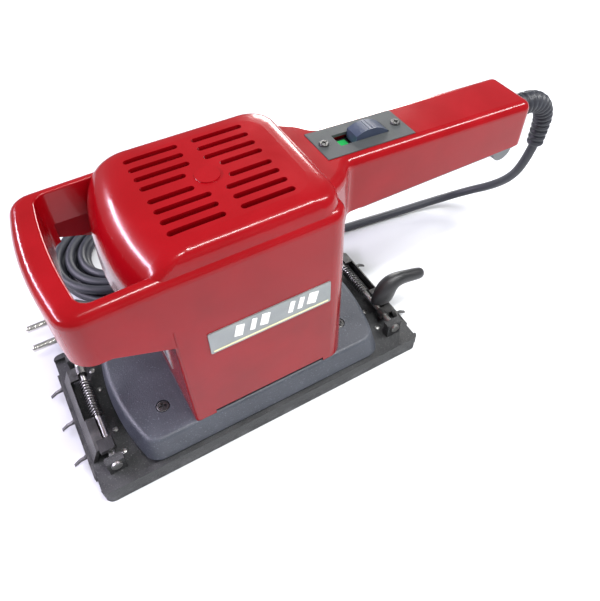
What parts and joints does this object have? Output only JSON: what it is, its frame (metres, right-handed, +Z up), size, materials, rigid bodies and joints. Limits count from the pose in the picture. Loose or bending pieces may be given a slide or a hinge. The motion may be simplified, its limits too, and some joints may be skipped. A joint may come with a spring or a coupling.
{
  "type": "orbital sander",
  "caption": "Half-sheet electric finishing sander with a long rear handle, a bow handle at the nose, sprung paper clamps and a coiled mains cord.",
  "frame": {"origin": "middle of the sanding pad's lower face, straight under the motor shaft", "axes": "+X runs from the bow handle towards the rear handle, +Z is up, away from the work"},
  "size_m": [0.3845, 0.2465, 0.1647],
  "materials": {
    "red_shell": "gloss",
    "dark_casting": "satin",
    "grey_plastic": "matte",
    "black_plastic": "matte",
    "slider_plastic": "satin",
    "green_mark": "gloss",
    "plate_foil": "satin",
    "pad_rubber": "matte",
    "cord_rubber": "satin",
    "zinc_steel": "satin",
    "bearing_steel": "polished",
    "core_steel": "satin",
    "winding_copper": "satin",
    "carbon": "matte",
    "pin_brass": "polished"
  },
  "bodies": {
    "housing": {"main_housing": "red_shell", "base_housing": "dark_casting", "handle_cover": "grey_plastic", "side_badge": "plate_foil", "rating_plate": "plate_foil", "switch_plate": "grey_plastic", "switch_screws": "zinc_steel", "switch_body": "black_plastic", "on_mark": "green_mark", "lower_bearing": "bearing_steel", "upper_bearing": "bearing_steel", "bearing_bracket": "grey_plastic", "field_core": "core_steel", "field_windings": "winding_copper", "stator_pillars": "grey_plastic", "brush_holders": "pin_brass", "carbon_brushes": "carbon", "suppressor_capacitor": "slider_plastic", "terminal_block": "grey_plastic", "cord_clamp": "black_plastic", "cord_sleeve": "cord_rubber", "cord_run": "cord_rubber", "cord_coil": "cord_rubber", "cord_tail": "cord_rubber", "plug_body": "cord_rubber", "plug_pins": "pin_brass", "post_screws": "zinc_steel"},
    "rotor": {"spindle": "zinc_steel", "counterweight": "core_steel", "armature_core": "core_steel", "commutator": "winding_copper", "cooling_fan": "grey_plastic"},
    "pad": {"platen": "black_plastic", "sanding_pad": "pad_rubber", "pad_bearing": "bearing_steel", "rubber_posts": "pad_rubber", "front_clamp_shaft": "zinc_steel", "rear_clamp_shaft": "zinc_steel", "front_clamp_spring": "zinc_steel", "rear_clamp_spring": "zinc_steel", "front_spike_strip": "zinc_steel", "rear_spike_strip": "zinc_steel"},
    "front_clamp": {"front_clamp_jaw": "zinc_steel", "front_finger_tab": "black_plastic"},
    "rear_clamp": {"rear_clamp_jaw": "zinc_steel", "rear_lever": "black_plastic"},
    "slider": {"switch_slider": "slider_plastic"}
  },
  "joints": [
    {"name": "rotor_spin", "type": "hinge", "parent": "housing", "child": "rotor", "pos_m": [0, 0, 0.03], "axis": [0, 0, 1], "continuous": true},
    {"name": "pad_orbit", "type": "hinge", "parent": "rotor", "child": "pad", "pos_m": [0.002, 0, 0.012], "axis": [0, 0, 1], "continuous": true},
    {"name": "front_clamp_lift", "type": "hinge", "parent": "pad", "child": "front_clamp", "pos_m": [-0.1015, 0, 0.0185], "axis": [0, 1, 0], "range_deg": [0, 25], "stiffness_Nm_per_rad": 0.4, "springref_deg": -11.46},
    {"name": "rear_clamp_lift", "type": "hinge", "parent": "pad", "child": "rear_clamp", "pos_m": [0.1015, 0, 0.0185], "axis": [0, -1, 0], "range_deg": [0, 25], "stiffness_Nm_per_rad": 0.4, "springref_deg": -11.46},
    {"name": "switch_slide", "type": "slide", "parent": "housing", "child": "slider", "axis": [-0.999, 0, 0.0454], "range_m": [0, 0.008]}
  ],
  "couplings": [
    {"joint": "pad_orbit", "follows": "rotor_spin", "ratio": -1}
  ]
}
